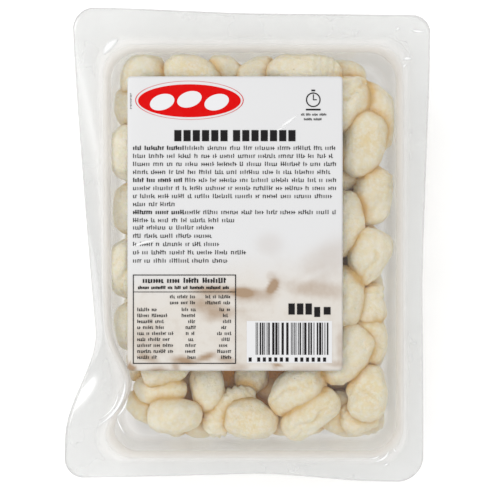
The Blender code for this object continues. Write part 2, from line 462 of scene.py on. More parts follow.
def flange_ring(share):
    """The flange's upper surface, from the rim at share 0 to its trimmed edge at share 1.

    Each point slides straight from the rim to the edge; the left side curls down and all of it waves.
    """
    rim = cavity_ring(0, TRAY_DEPTH)
    edge = outline(FLANGE_CORNERS, FLANGE_CORNER_RADII, SIDE_BOWS)
    peak = SIDE_BOWS[LEFT_SIDE][1]
    top, bottom = FLANGE_CORNERS[3][1], FLANGE_CORNERS[0][1]
    down = np.clip((top - edge[:, 1]) / (top - bottom), 0, 1)
    curl = LEFT_CURL * side_profile(down, peak) * (edge[:, 0] < RIM_LEFT)
    wave = flange_wave(edge[:, 0], edge[:, 1])
    ring = rim + (np.column_stack([edge, np.full(len(edge), TRAY_DEPTH)]) - rim) * share
    ring[:, 2] -= (curl - wave) * share**1.5
    return ring


def film_level(x, y, slack):
    """Height of the film's underside: level in the middle, sloping to the rim, with soft waves."""
    inset = rim_inset(x, y)
    rise = FILM_BULGE * smooth_step(inset / FILM_SLOPE)
    calm = smooth_step(inset / (9 * MM))
    return TRAY_DEPTH + FILM_GAP + rise + slack * calm * soft_waves(x, y, 30 * MM, 3)


# ---------------------------------------------------------------- material parts


def link(tree, source, target):
    """Joins one socket to another."""
    tree.links.new(source, target)


def new_material(name, roughness, specular=0.5):
    """A material, its node tree and its Principled shader."""
    made = bpy.data.materials.new(name)
    made.use_nodes = True
    tree = made.node_tree
    shader = tree.nodes["Principled BSDF"]
    shader.inputs["Roughness"].default_value = roughness
    shader.inputs["Specular IOR Level"].default_value = specular
    return made, tree, shader


def math_node(tree, kind, first, second=None):
    """A Math node; each operand is a number or another node's socket."""
    node = tree.nodes.new("ShaderNodeMath")
    node.operation = kind
    for socket, value in zip(node.inputs, (first, second)):
        if isinstance(value, bpy.types.NodeSocket):
            tree.links.new(value, socket)
        elif value is not None:
            socket.default_value = value
    return node.outputs[0]


def mix_colour(tree, amount, first, second):
    """A colour mix: amount is a socket or a number, and each colour a socket or three numbers."""
    node = tree.nodes.new("ShaderNodeMix")
    node.data_type = "RGBA"
    sockets = [s for s in node.inputs if s.type == "RGBA"]
    for socket, value in zip([node.inputs[0], *sockets], (amount, first, second)):
        if isinstance(value, bpy.types.NodeSocket):
            tree.links.new(value, socket)
        elif socket.type == "RGBA":
            socket.default_value = (*value, 1)
        else:
            socket.default_value = value
    return next(s for s in node.outputs if s.type == "RGBA")


def ramp(tree, source, low, high):
    """0 at or below low and 1 at or above high, with a soft rise between."""
    node = tree.nodes.new("ShaderNodeMapRange")
    node.interpolation_type = "SMOOTHSTEP"
    node.inputs["From Min"].default_value = low
    node.inputs["From Max"].default_value = high
    tree.links.new(source, node.inputs["Value"])
    return node.outputs["Result"]


def noise(tree, place, scale, detail=2.0, roughness=0.5):
    """A noise value over the surface, at a scale in cycles for each metre."""
    node = tree.nodes.new("ShaderNodeTexNoise")
    node.inputs["Scale"].default_value = scale
    node.inputs["Detail"].default_value = detail
    node.inputs["Roughness"].default_value = roughness
    tree.links.new(place, node.inputs["Vector"])
    return node.outputs["Fac"]


def attribute(tree, name):
    """The value of a mesh attribute."""
    node = tree.nodes.new("ShaderNodeAttribute")
    node.attribute_name = name
    return node.outputs["Fac"]


def object_place(tree):
    """Object coordinates."""
    return tree.nodes.new("ShaderNodeTexCoord").outputs["Object"]


def bump(tree, shader, height, distance, strength):
    """A Bump node that feeds the shader's normal."""
    node = tree.nodes.new("ShaderNodeBump")
    node.inputs["Distance"].default_value = distance
    node.inputs["Strength"].default_value = strength
    tree.links.new(height, node.inputs["Height"])
    tree.links.new(node.outputs["Normal"], shader.inputs["Normal"])


def flour_group():
    """Node group: the floury skin of potato dough as a height, a mask of flour patches and one of specks."""
    name = "floury_skin"
    if name in bpy.data.node_groups:
        return bpy.data.node_groups[name]
    tree = bpy.data.node_groups.new(name, "ShaderNodeTree")
    for socket in ("Height", "Flour", "Speck", "Tone"):
        tree.interface.new_socket(socket, in_out="OUTPUT", socket_type="NodeSocketFloat")
    out = tree.nodes.new("NodeGroupOutput")
    place = object_place(tree)
    fine = noise(tree, place, 900, 3.0, 0.6)
    coarse = noise(tree, place, 330, 2.0, 0.5)
    link(tree, math_node(tree, "ADD", fine, coarse), out.inputs["Height"])
    link(tree, ramp(tree, noise(tree, place, 480, 4.0, 0.7), 0.42, 0.6), out.inputs["Flour"])
    link(tree, ramp(tree, noise(tree, place, 95, 2.0, 0.5), 0.35, 0.68), out.inputs["Tone"])
    cells = tree.nodes.new("ShaderNodeTexVoronoi")
    cells.inputs["Scale"].default_value = 150
    link(tree, place, cells.inputs["Vector"])
    parted = tree.nodes.new("ShaderNodeSeparateColor")
    link(tree, cells.outputs["Color"], parted.inputs[0])
    rare = math_node(tree, "GREATER_THAN", parted.outputs[0], 0.93)
    dot = math_node(tree, "LESS_THAN", cells.outputs["Distance"], 0.045)
    link(tree, math_node(tree, "MULTIPLY", rare, dot), out.inputs["Speck"])
    return tree


def haze_group():
    """Node group: the uneven milkiness of a clear plastic, and its faint ripple as a height."""
    name = "plastic_haze"
    if name in bpy.data.node_groups:
        return bpy.data.node_groups[name]
    tree = bpy.data.node_groups.new(name, "ShaderNodeTree")
    for socket in ("Cloud", "Ripple"):
        tree.interface.new_socket(socket, in_out="OUTPUT", socket_type="NodeSocketFloat")
    out = tree.nodes.new("NodeGroupOutput")
    place = object_place(tree)
    cloud = ramp(tree, noise(tree, place, 38, 3.0, 0.6), 0.25, 0.75)
    link(tree, cloud, out.inputs["Cloud"])
    ripple = math_node(tree, "ADD", noise(tree, place, 90, 2.0, 0.5), noise(tree, place, 900, 2.0, 0.5))
    link(tree, ripple, out.inputs["Ripple"])
    return tree


def use_group(tree, group):
    """A node that holds a group, placed in a material."""
    node = tree.nodes.new("ShaderNodeGroup")
    node.node_tree = group
    return node


def dough_material(name):
    """Floury potato dough, with flour patches, a few specks and random tone; three attributes paint shade on
    it: warmer and darker in dimples, grooves and near neighbours, ochre where gnocchi touch, and
    orange-brown low in the heap.
    """
    colours = bpy.context.scene.pack_colours
    made, tree, shader = new_material(name, 0.72, 0.25)
    skin = use_group(tree, flour_group())
    # Random tone plus painted shade: warmer, darker dough in dimples, grooves and creases and near
    # neighbours.
    tone = math_node(tree, "MULTIPLY", skin.outputs["Tone"], 0.3)
    warmth = math_node(tree, "ADD", tone, attribute(tree, "warmth"))
    colour = mix_colour(tree, warmth, colours.dough, colours.dough_tone_and_shade)
    flour = math_node(tree, "MULTIPLY", skin.outputs["Flour"], 0.62)
    colour = mix_colour(tree, flour, colour, colours.flour)
    # Painted shade: ochre where gnocchi touch.
    colour = mix_colour(tree, attribute(tree, "pressed"), colour, colours.dough_pressed)
    # Painted shade: orange-brown low in the heap.
    colour = mix_colour(tree, attribute(tree, "deep"), colour, colours.dough_deep)
    speck = math_node(tree, "MULTIPLY", skin.outputs["Speck"], 0.55)
    colour = mix_colour(tree, speck, colour, (0.2, 0.1, 0.04))
    link(tree, colour, shader.inputs["Base Color"])
    shader.inputs["Subsurface Weight"].default_value = 0.18
    shader.inputs["Subsurface Scale"].default_value = 2 * MM
    shader.inputs["Subsurface Radius"].default_value = (1.0, 0.62, 0.3)
    bump(tree, shader, skin.outputs["Height"], 0.6 * MM, 0.8)
    return made


def plastic_material(name, clear_share, slant_share, roughness, glossy=True):
    """Clear plastic: see-through with a little milkiness, over which, where glossy, a slant adds shine.

    clear_share is its opacity square on and slant_share what a slant adds; the haze attribute adds more,
    and the rim attribute tints it with a painted reflection of the dough.
    """
    colours = bpy.context.scene.pack_colours
    made, tree, shader = new_material(name, roughness, 0.6)
    haze = use_group(tree, haze_group())
    # Painted reflection: the rim attribute tints the plastic beige, as the dough shows in it.
    colour = mix_colour(tree, attribute(tree, "rim"), colours.plastic, colours.rim)
    link(tree, colour, shader.inputs["Base Color"])
    slant = tree.nodes.new("ShaderNodeLayerWeight")
    slant.inputs["Blend"].default_value = 0.35
    sloped = math_node(tree, "MULTIPLY", slant.outputs["Facing"], slant_share)
    cloud = math_node(tree, "MULTIPLY", haze.outputs["Cloud"], clear_share * 0.35)
    amount = math_node(tree, "ADD", math_node(tree, "ADD", cloud, clear_share * 0.8), sloped)
    link(tree, math_node(tree, "ADD", amount, attribute(tree, "haze")), shader.inputs["Alpha"])
    bump(tree, shader, haze.outputs["Ripple"], 0.3 * MM, 0.04)
    if not glossy:
        return made
    gloss = tree.nodes.new("ShaderNodeBsdfGlossy")
    gloss.inputs["Roughness"].default_value = roughness
    shine = tree.nodes.new("ShaderNodeLayerWeight")
    shine.inputs["Blend"].default_value = 0.3
    both = tree.nodes.new("ShaderNodeMixShader")
    link(tree, shine.outputs["Facing"], both.inputs[0])
    link(tree, shader.outputs[0], both.inputs[1])
    link(tree, gloss.outputs[0], both.inputs[2])
    link(tree, both.outputs[0], tree.nodes["Material Output"].inputs["Surface"])
    return made


def fold_highlight_material():
    """Painted highlight of a fold or crease: white plastic that fades out to its edges."""
    if "fold_highlight_plastic" in bpy.data.materials:
        return bpy.data.materials["fold_highlight_plastic"]
    made, tree, shader = new_material("fold_highlight_plastic", 0.3, 0.5)
    # Painted highlight: a white sheet whose opacity follows the haze attribute.
    shader.inputs["Base Color"].default_value = (1, 1, 1, 1)
    link(tree, attribute(tree, "haze"), shader.inputs["Alpha"])
    return made


def label_material():
    """Pale label stock whose lower half fades into beige, with a soft picture of shades over it."""
    colours = bpy.context.scene.pack_colours
    made, tree, shader = new_material("label_stock", 0.38, 0.5)
    place = object_place(tree)
    parts = tree.nodes.new("ShaderNodeSeparateXYZ")
    link(tree, place, parts.inputs[0])
    wander = math_node(tree, "MULTIPLY", noise(tree, place, 26, 2.0, 0.5), 30 * MM)
    slope = math_node(tree, "MULTIPLY", parts.outputs["X"], -0.12)
    level = math_node(tree, "ADD", math_node(tree, "ADD", parts.outputs["Y"], wander), slope)
    fade = ramp(tree, math_node(tree, "MULTIPLY", level, -1.0), -18 * MM, 12 * MM)
    mottle = noise(tree, place, 210, 3.0, 0.6)
    grain = math_node(tree, "MULTIPLY", math_node(tree, "SUBTRACT", mottle, 0.5), 0.5)
    shade = math_node(tree, "ADD", attribute(tree, "shade"), math_node(tree, "MULTIPLY", grain, fade))
    colour = mix_colour(tree, math_node(tree, "MULTIPLY", fade, 0.55), colours.label, colours.picture)
    deepness = math_node(tree, "MINIMUM", math_node(tree, "MAXIMUM", shade, 0.0), 0.85)
    colour = mix_colour(tree, deepness, colour, colours.picture_dark)
    pale = math_node(tree, "MULTIPLY", shade, -2.0)
    paleness = math_node(tree, "MINIMUM", math_node(tree, "MAXIMUM", pale, 0.0), 1.0)
    colour = mix_colour(tree, math_node(tree, "MULTIPLY", paleness, 0.6), colour, colours.label)
    link(tree, colour, shader.inputs["Base Color"])
    return made


def plain_material(name, colour, roughness):
    """Printed ink: one colour with the faintest cloudiness of a print run."""
    made, tree, shader = new_material(name, roughness, 0.04)
    uneven = math_node(tree, "MULTIPLY", noise(tree, object_place(tree), 700), 0.02)
    link(tree, mix_colour(tree, uneven, colour, (0.4, 0.4, 0.4)), shader.inputs["Base Color"])
    return made


# ---------------------------------------------------------------- gnocchi


# The lumps' waves, each as its number of radians over a gnocco's half and its share of the height.
LUMP_WAVES = [(2.2, 0.8), (3.4, 0.65), (4.6, 0.5), (6.5, 0.4), (9.5, 0.28), (14.0, 0.2), (20.0, 0.13)]
# Heights of the placed gnocchi's centres at each level, in millimetres.
LEVEL_HEIGHTS = {0: 25.3, 1: 20.8, 2: 15.5}
# Columns of the table of gnocchi, after each one's centre; hidden is 0 for those placed one by one.
LENGTH, WIDTH, TURN, TILT, FREE, HIDDEN = 3, 4, 5, 6, 7, 8


def gnocco_rings(length, width, height, look, seed, rows, around):
    """One gnocco along X as rings of points, from its left end to its right end.

    It is an oval of revolution with full ends: x is half the length times the sine of the latitude, and
    the section's radius is the latitude's cosine to a power under 1. Each look bends, waists, pinches,
    grooves or dimples it, and every one has soft lumps, a sum of sines over the direction outwards.
    Returns the points, both poles, and how much painted shade each point gets in its dimple, grooves or
    creases.
    """
    sizes = bpy.context.scene.gnocchi_sizes
    chance = np.random.default_rng(seed)
    latitude = (np.linspace(-0.5, 0.5, rows + 2) * math.pi)[1:-1, None]
    angle = (np.linspace(0, 2 * math.pi, around, endpoint=False))[None, :]
    along = np.sin(latitude)
    fullness = chance.uniform(0.74, 0.96)
    radius = np.cos(latitude) ** fullness
    radius = radius * (1 + chance.uniform(-0.2, 0.2) * along)
    if look == "lobed":
        radius = radius * (1 - 0.2 * np.exp(-(((along - 0.1) / 0.28) ** 2)))
    if look in ("nib", "crease"):
        radius = radius * (1 - 0.3 * smooth_step((along - 0.45) / 0.55))
    side, up = np.cos(angle), np.sin(angle)
    half = np.array([length, width, height]) / 2

    # Soft lumps: each wave runs across the gnocco in its own direction.
    outward = np.stack(np.broadcast_arrays(along, side * radius, up * radius), axis=-1)
    lift = np.zeros(outward.shape[:2])
    for pace, share in LUMP_WAVES:
        for _ in range(3):
            way = unit(chance.normal(size=3))
            lift += share * sizes.lumps * np.sin(outward @ way * pace + chance.uniform(0, 6.28)) * 0.7
    # Painted shade: dimples, grooves and creases are tinted warmer and darker, where shade falls.
    warm = np.zeros_like(lift)

    top = smooth_step(up * 1.6) * np.ones_like(along)
    if look == "dimple":
        spot = np.exp(-((along / 0.45) ** 2) - ((side / 0.6) ** 2)) * top
        lift -= 1.15 * MM * spot
        warm += 0.75 * spot
    if look in ("ridged", "scalloped"):
        pitch = 2.9 * MM
        grooves = np.cos(along * half[0] / pitch * 2 * math.pi + side * 0.7)
        reach = smooth_step((along + 0.1) / 0.35) if look == "ridged" else 1 - 0.7 * top
        depth = sizes.ridge * (1.0 if look == "ridged" else 2.4)
        lift += depth * grooves * reach * np.cos(latitude) ** 0.5
        warm += 0.25 * (1 - grooves) / 2 * reach
    if look in ("crease", "wrinkled"):
        folds = [(1.35, 1.0)] if look == "crease" else [(0.9, 0.5), (1.55, 0.6), (2.2, 0.4)]
        for base, share in folds:
            middle = base + 0.35 * np.sin(along * 2.3 + base * 5) + 0.08 * np.sin(along * 9 + base)
            gap = (angle - middle) * half[1] * radius
            groove = np.exp(-((gap / (0.75 * MM)) ** 2)) * (1 - along**4) * np.ones_like(lift)
            lift -= sizes.crease * share * groove
            warm += 0.8 * share * groove
    body = np.stack(
        np.broadcast_arrays(
            half[0] * along,
            half[1] * radius * np.sign(side) * np.abs(side) ** 0.94,
            half[2] * radius * np.sign(up) * np.abs(up) ** 0.94,
        ),
        axis=-1,
    ).copy()
    full = np.ones_like(radius)
    skin = np.stack(np.broadcast_arrays(along * 0.7, side * full, up * full), axis=-1)
    skin = skin / np.linalg.norm(skin, axis=-1, keepdims=True)
    fade = np.cos(latitude) ** 0.35
    body += skin * (lift * fade)[..., None]
    if look == "nib":
        body[..., 2] += 1.5 * MM * smooth_step((along - 0.55) / 0.4) * np.ones_like(angle)
    bend = {"bent": 0.34, "lobed": 0.16}.get(look, chance.uniform(-0.08, 0.08))
    body[..., 1] += bend * width * (0.4 - along**2)
    # A cut end is pressed flat, so the last stretch of the length is shortened.
    for sign in (-1, 1):
        cut = chance.uniform(0, 0.1)
        past = smooth_step((sign * along - 0.6) / 0.4) * np.ones_like(angle)
        body[..., 0] -= sign * cut * half[0] * past
    poles = [body[0].mean(0), body[-1].mean(0)]
    for pole, sign in zip(poles, (-1, 1)):
        pole[0] += sign * 0.012 * half[0]
    return body, poles, warm


def turned(points, turn, tilt):
    """Points turned about Y by the tilt and then about Z by the turn."""
    ct, st, cp, sp = math.cos(turn), math.sin(turn), math.cos(tilt), math.sin(tilt)
    matrix = np.array([(ct * cp, -st, -ct * sp), (st * cp, ct, -st * sp), (sp, 0, cp)])
    return points @ matrix.T


def heap_places():
    """Every gnocco as a row of numbers, in millimetres and degrees, and a list of their looks.

    A row is its centre, length, width, turn, tilt, how freely it can move, and whether it is hidden. The
    seen ones are set one by one round the label. The hidden ones under the label and the whole lower layer
    lie in staggered rows with seeded chance.
    """
    sizes = bpy.context.scene.gnocchi_sizes
    chance = np.random.default_rng(sizes.seed)
    rows, looks = [], []
    for x, y, length, width, turn, level, look in TOP_ROW + RIGHT_SIDE + BOTTOM_ROW + LEFT_SIDE_ROW:
        tilt = chance.uniform(-4, 4) if level == 0 else chance.uniform(-12, 12)
        rows.append((x, y, LEVEL_HEIGHTS[level], length, width, turn, tilt, 0.01, 0))
        looks.append(look)
    spare = ["plain", "plain", "bent", "lobed", "wrinkled", "dimple", "crease", "ridged"]

    def lay(ys, xs, height, swing, free):
        """Staggered rows across the tray at one height."""
        for k, y in enumerate(ys):
            for x in xs:
                shift = 7 if k % 2 else 0
                length = sizes.length / MM * chance.uniform(0.88, 1.06)
                width = sizes.width / MM * chance.uniform(0.88, 1.04)
                turn = chance.uniform(-swing, swing)
                place = (x + shift + chance.uniform(-1, 1), y + chance.uniform(-1.5, 1.5), height)
                rows.append((*place, length, width, turn, chance.uniform(-8, 8), free, 1))
                looks.append(spare[chance.integers(len(spare))])

    lay(np.arange(54, -50, -17.5), (-29, -1, 25), 25, 40, 0.6)
    lay(np.arange(66, -76, -19.5), (-50, 50), 13, 70, 0.8)
    lay(np.arange(73, -84, -17.2), (-43, -16, 11, 38), 8.8, 30, 1.0)
    return np.array(rows, float), looks


def settle(rows, steps=90):
    """Pushes the hidden gnocchi away from their neighbours, inside the tray's walls, and gives centres.

    Each gnocco is three balls along its length. Where two balls of different gnocchi overlap, both move
    along the line between them, by how freely each moves; then every gnocco is put back between floor,
    film and walls. The seen ones keep the places they were given, so they can still overlap.
    """
    centre = rows[:, :3].copy()
    length, width = rows[:, LENGTH], rows[:, WIDTH]
    turn, free = np.radians(rows[:, TURN]), rows[:, FREE]
    half_height = width * bpy.context.scene.gnocchi_sizes.flatness / 2
    way = np.stack([np.cos(turn), np.sin(turn), np.zeros(len(turn))], axis=-1)
    reach = (length - width) / 2 + 0.6
    ball = width * 0.435
    seen = rows[:, HIDDEN] == 0
    owner = np.repeat(np.arange(len(rows)), 3)
    slide = np.tile([-1, 0, 1], len(rows))
    for _ in range(steps):
        balls = centre[owner] + way[owner] * (reach[owner] * slide)[:, None]
        apart = balls[:, None, :] - balls[None, :, :]
        far = np.linalg.norm(apart, axis=-1) + 1e-6
        overlap = np.clip(ball[owner][:, None] + ball[owner][None, :] - far, 0, None)
        overlap[owner[:, None] == owner[None, :]] = 0
        share = free[owner][:, None] / (free[owner][:, None] + free[owner][None, :])
        push = (apart / far[..., None] * (overlap * share)[..., None]).sum(axis=1)
        move = np.zeros_like(centre)
        np.add.at(move, owner, push)
        centre += 0.22 * move
        wall = (RIM_BEND + DRAFT * (1 - centre[:, 2] / (TRAY_DEPTH / MM))) / MM + 0.2
        spread_x = np.abs(way[:, 0]) * reach + width * 0.46 + wall
        spread_y = np.abs(way[:, 1]) * reach + width * 0.46 + wall
        dent = DENT_DEPTH / MM * dent_reach(np.maximum(np.abs(centre[:, 1] * MM - DENT_Y) - 7 * MM, 0))
        low_x, high_x = RIM_LEFT / MM + spread_x + dent, RIM_RIGHT / MM - spread_x
        low_y, high_y = RIM_BOTTOM / MM + spread_y, RIM_TOP / MM - spread_y
        centre[:, 0] = np.clip(centre[:, 0], low_x, high_x)
        centre[:, 1] = np.clip(centre[:, 1], low_y, high_y)
        centre[:, 2] = np.clip(centre[:, 2], 1.2 + half_height, 33.6 - half_height)
        centre[seen] = rows[seen, :3]
    return centre


def wall_gap(points):
    """About how far each point lies inside the nearest of the cavity's four walls."""
    return rim_inset(points[..., 0], points[..., 1]) - 4 * MM


def nearest_gap(points, mine, centre, way, reach, ball):
    """Each point's distance to the nearest other gnocco: to its axis, less its half width."""
    near = np.linalg.norm(centre - centre[mine], axis=-1) < 40 * MM
    near[mine] = False
    least = np.full(len(points), 40 * MM)
    for other in np.nonzero(near)[0]:
        offset = points - centre[other]
        along = np.clip(offset @ way[other], -reach[other], reach[other])
        gap = np.linalg.norm(offset - along[:, None] * way[other], axis=-1) - ball[other]
        least = np.minimum(least, gap)
    return np.clip(least, 0, None)


def build_heap():
    """All the gnocchi as surfaces, parted into those placed to be seen and the hidden and lower ones."""
    sizes = bpy.context.scene.gnocchi_sizes
    rows, looks = heap_places()
    centre = settle(rows) * MM
    length, width = rows[:, LENGTH] * MM, rows[:, WIDTH] * MM
    height = width * sizes.flatness
    turn, tilt = np.radians(rows[:, TURN]), np.radians(rows[:, TILT])
    way = np.stack([np.cos(turn) * np.cos(tilt), np.sin(turn) * np.cos(tilt), np.sin(tilt)], axis=-1)
    reach, ball = (length - width) / 2, width * (1 + sizes.flatness) / 4
    upper, lower = [], []
    for k, look in enumerate(looks):
        seen = rows[k, HIDDEN] == 0
        counts = (42, 54) if seen else (22, 30)
        rings, poles, warm = gnocco_rings(length[k], width[k], height[k], look, 100 + k, *counts)
        placed = turned(rings, turn[k], tilt[k]) + centre[k]
        placed = press_in(placed.reshape(-1, 3)).reshape(placed.shape)
        ends = [press_in((turned(pole, turn[k], tilt[k]) + centre[k])[None, :]) for pole in poles]
        gap = nearest_gap(placed.reshape(-1, 3), k, centre, way, reach, ball)
        gap = gap.reshape(placed.shape[:2])
        # Painted shade: the dough is tinted warmer and darker within a few millimetres of a neighbour.
        warm = np.clip(warm + 0.6 * np.exp(-gap / (3.2 * MM)), 0, 1)
        # Painted shade: the dough turns ochre within a millimetre or two of a neighbour.
        pressed = 0.8 * np.exp(-((gap / (1.4 * MM)) ** 1.2))
        # Less light and more damp reach the dough low down, away from the clear wall and base.
        # Painted shade: the dough low down in the heap is tinted orange-brown, less so near the clear wall
        # and base, where light comes in.
        level = placed[..., 2]
        low = smooth_step((20.5 * MM - level) / (8 * MM)) * smooth_step((level - 5 * MM) / (5 * MM))
        deep = 0.85 * low * smooth_step((wall_gap(placed) - 2 * MM) / (14 * MM))
        surface = ring_surface(placed, ends[0], ends[1], warmth=warm, pressed=pressed, deep=deep)
        (upper if seen else lower).append(surface)
    return upper, lower


def crumbs(surfaces, count, seed):
    """Small clumps of flour on the upper gnocchi: eight-sided lumps of uneven size."""
    chance = np.random.default_rng(seed)
    points = np.concatenate([s["points"] for s in surfaces])
    high = points[points[:, 2] > 24 * MM]
    spots = high[chance.integers(len(high), size=count)]
    latitude = (np.linspace(-0.5, 0.5, 6) * math.pi)[1:-1, None]
    angle = np.linspace(0, 2 * math.pi, 8, endpoint=False)[None, :]
    flat = np.cos(latitude)
    ball = [flat * np.cos(angle), flat * np.sin(angle), np.sin(latitude)]
    ball = np.stack(np.broadcast_arrays(*ball), axis=-1)
    made = []
    for spot in spots:
        size = chance.uniform(0.18, 0.5) * MM * chance.uniform(0.6, 1.3, 3)
        rough = ball * (1 + 0.22 * chance.normal(size=ball.shape[:2])[..., None])
        rings = rough * size + spot
        foot, top = spot - (0, 0, size[2]), spot + (0, 0, size[2])
        zero = np.zeros(ball.shape[:2])
        # Rings that climb in Z are turned the other way round, so their faces look outwards.
        made.append(ring_surface(rings[:, ::-1], foot, top, warmth=zero, pressed=zero, deep=zero))
    return joined(made)


def core_surface():
    """The heap's hidden middle: a block of painted shade, whose sections are the cavity's, drawn in and
    waved.
    """
    levels = np.array([(34, 8.5), (26, 8.8), (21, 9.6), (19, 11), (21, 12.6), (28, 14), (36, 14.5)])
    rings = []
    for inset, height in levels * MM:
        ring = cavity_ring(inset, height)
        ring[:, 2] += 0.8 * MM * soft_waves(ring[:, 0], ring[:, 1], 18 * MM, 5)
        rings.append(ring)
    rings = np.stack(rings)
    low, high = rings[0].mean(0), rings[-1].mean(0)
    # Painted shade: the core takes every shade tint in full.
    full = np.ones(rings.shape[:2])
    return ring_surface(rings[:, ::-1], low, high, warmth=full, pressed=full, deep=full)


# ---------------------------------------------------------------- label print

# The faded picture in the label's lower half, as soft ovals: (x, y, half width, half height, turn,
# shade). Millimetres from the label's top left corner; degrees; shade is 1 for darkest and below 0 for pale.
PICTURE_FIELDS = [
    (60.0, 71.0, 6.0, 5.0, 0, 0.12),
    (84.0, 78.0, 13.0, 7.0, 35, 0.2),
    (80.0, 90.0, 15.0, 3.6, -6, 0.33),
    (48.5, 91.0, 5.0, 2.2, -4, 0.8),
    (36.0, 90.5, 9.0, 2.4, -3, 0.55),
    (55.0, 92.5, 10.0, 3.0, 6, 0.4),
    (61.5, 88.5, 2.0, 3.4, -35, 0.95),
    (60.5, 84.5, 2.2, 2.6, 20, 0.25),
    (57.0, 83.0, 4.2, 7.0, 20, -0.12),
    (65.0, 94.0, 3.4, 5.2, 15, -0.15),
    (76.0, 85.5, 9.0, 1.6, 28, -0.12),
    (33.0, 97.0, 8.0, 3.6, -10, 0.5),
    (40.0, 100.5, 8.0, 2.6, 12, 0.38),
    (52.0, 101.0, 5.0, 3.4, 0, 0.1),
    (9.0, 112.0, 7.0, 7.0, 0, 0.22),
    (8.5, 119.0, 5.0, 1.6, -20, 0.4),
    (24.0, 120.0, 5.0, 1.7, -8, 0.75),
    (33.0, 118.6, 4.6, 1.5, 20, 0.72),
    (42.0, 119.6, 4.5, 1.4, -10, 0.5),
    (1.5, 123.0, 2.6, 1.4, -25, 1.0),
    (13.0, 124.2, 5.0, 1.2, 0, 0.6),
    (20.5, 122.8, 1.6, 2.2, 30, 0.55),
    (47.0, 123.0, 4.0, 1.5, 0, 0.35),
    (63.0, 122.2, 2.2, 0.9, 10, 0.8),
    (74.0, 123.4, 7.0, 1.6, 4, 0.25),
    (90.0, 114.0, 1.8, 8.0, 0, 0.3),
    (88.5, 121.5, 4.0, 1.3, 0, 0.35),
    (27.0, 124.0, 4.5, 1.3, 0, -0.3),
    (37.0, 123.6, 3.6, 1.5, 0, -0.25),
    (55.0, 124.2, 5.0, 1.3, 0, -0.3),
]


def label_place(x, y):
    """A place on the label in metres, from millimetres right of and below its top left corner."""
    return LABEL_LOW.x + np.asarray(x) * MM, LABEL_HIGH.y - np.asarray(y) * MM


def label_level(x, y):
    """Height of the label's upper face."""
    pack = bpy.context.scene.pack_sizes
    return film_level(x, y, pack.slack) + pack.film + pack.label + 0.1 * MM


def picture_shade(x, y):
    """The faded picture's shade on the label: the sum of its soft ovals, each a bell curve."""
    total = np.zeros(x.shape)
    for left, down, wide, tall, turn, shade in PICTURE_FIELDS:
        middle = label_place(left, down)
        angle = math.radians(turn)
        dx, dy = x - middle[0], y - middle[1]
        along = (dx * math.cos(angle) + dy * math.sin(angle)) / (wide * MM)
        across = (dy * math.cos(angle) - dx * math.sin(angle)) / (tall * MM)
        total += 1.25 * shade * np.exp(-((along**2 + across**2) ** 1.6))
    return total


def marks(rectangles, lift=1.0):
    """Flat marks that lie on the label: rectangles (left, top, right, bottom) in label millimetres.

    Long ones are cut into short stretches, so that they follow the label's soft waves.
    """
    boxes = np.array(rectangles, float)
    wide, tall = boxes[:, 2] - boxes[:, 0], boxes[:, 3] - boxes[:, 1]
    nx, ny = np.ceil(wide / 3).astype(int), np.ceil(tall / 3).astype(int)
    cuts = nx * ny
    which = np.repeat(np.arange(len(boxes)), cuts)
    order = np.arange(cuts.sum()) - np.repeat(np.cumsum(cuts) - cuts, cuts)
    ix, iy = order % nx[which], order // nx[which]
    left = boxes[which, 0] + wide[which] * ix / nx[which]
    right = boxes[which, 0] + wide[which] * (ix + 1) / nx[which]
    top = boxes[which, 1] + tall[which] * iy / ny[which]
    bottom = boxes[which, 1] + tall[which] * (iy + 1) / ny[which]
    across = np.stack([left, right, right, left], axis=-1)
    down = np.stack([bottom, bottom, top, top], axis=-1)
    x, y = label_place(across, down)
    z = label_level(x, y) + bpy.context.scene.pack_sizes.ink * lift
    points = np.stack([x, y, z], axis=-1).reshape(-1, 3)
    return {
        "points": points,
        "quads": np.arange(len(points)).reshape(-1, 4),
        "tris": np.zeros((0, 3), int),
        "values": {},
    }


def oval(centre, half, lift=1.0, hole=0.0, turn=0.0, around=72):
    """A flat oval on the label, or a ring where hole is the inner edge's share of the outer one."""
    angle = np.linspace(0, 2 * math.pi, around, endpoint=False)
    shares = np.linspace(hole, 1, 3 if hole else 9)
    shares = shares if hole else shares[1:]
    ox, oy = half[0] * np.cos(angle), half[1] * np.sin(angle)
    ct, st = math.cos(turn), math.sin(turn)
    x = centre[0] + shares[:, None] * (ct * ox - st * oy)[None, :]
    y = centre[1] - shares[:, None] * (st * ox + ct * oy)[None, :]
    x, y = label_place(x, y)
    z = label_level(x, y) + bpy.context.scene.pack_sizes.ink * lift
    rings = np.stack([x, y, z], axis=-1)
    return ring_surface(rings, None if hole else rings[0].mean(0))


def word_marks(left, right, middle, height, chance, bold=1.0):
    """One line of unreadable small print: words as rows of short upright strokes of two heights."""
    boxes = []
    x = left
    while x < right - 1.2:
        letters = int(chance.integers(2, 10))
        for _ in range(letters):
            if x > right:
                break
            tall = chance.random() < 0.3
            top = middle - height * (0.75 if tall else 0.45)
            boxes.append((x, top, x + 0.34 * bold, middle + height * 0.45))
            if chance.random() < 0.55:
                level = middle + height * chance.choice([-0.4, 0.0, 0.38])
                boxes.append((x, level - 0.12 * bold, x + 0.8 * height / 1.5, level + 0.12 * bold))
            x += 0.62 * height
        x += 0.75 * height
    return boxes


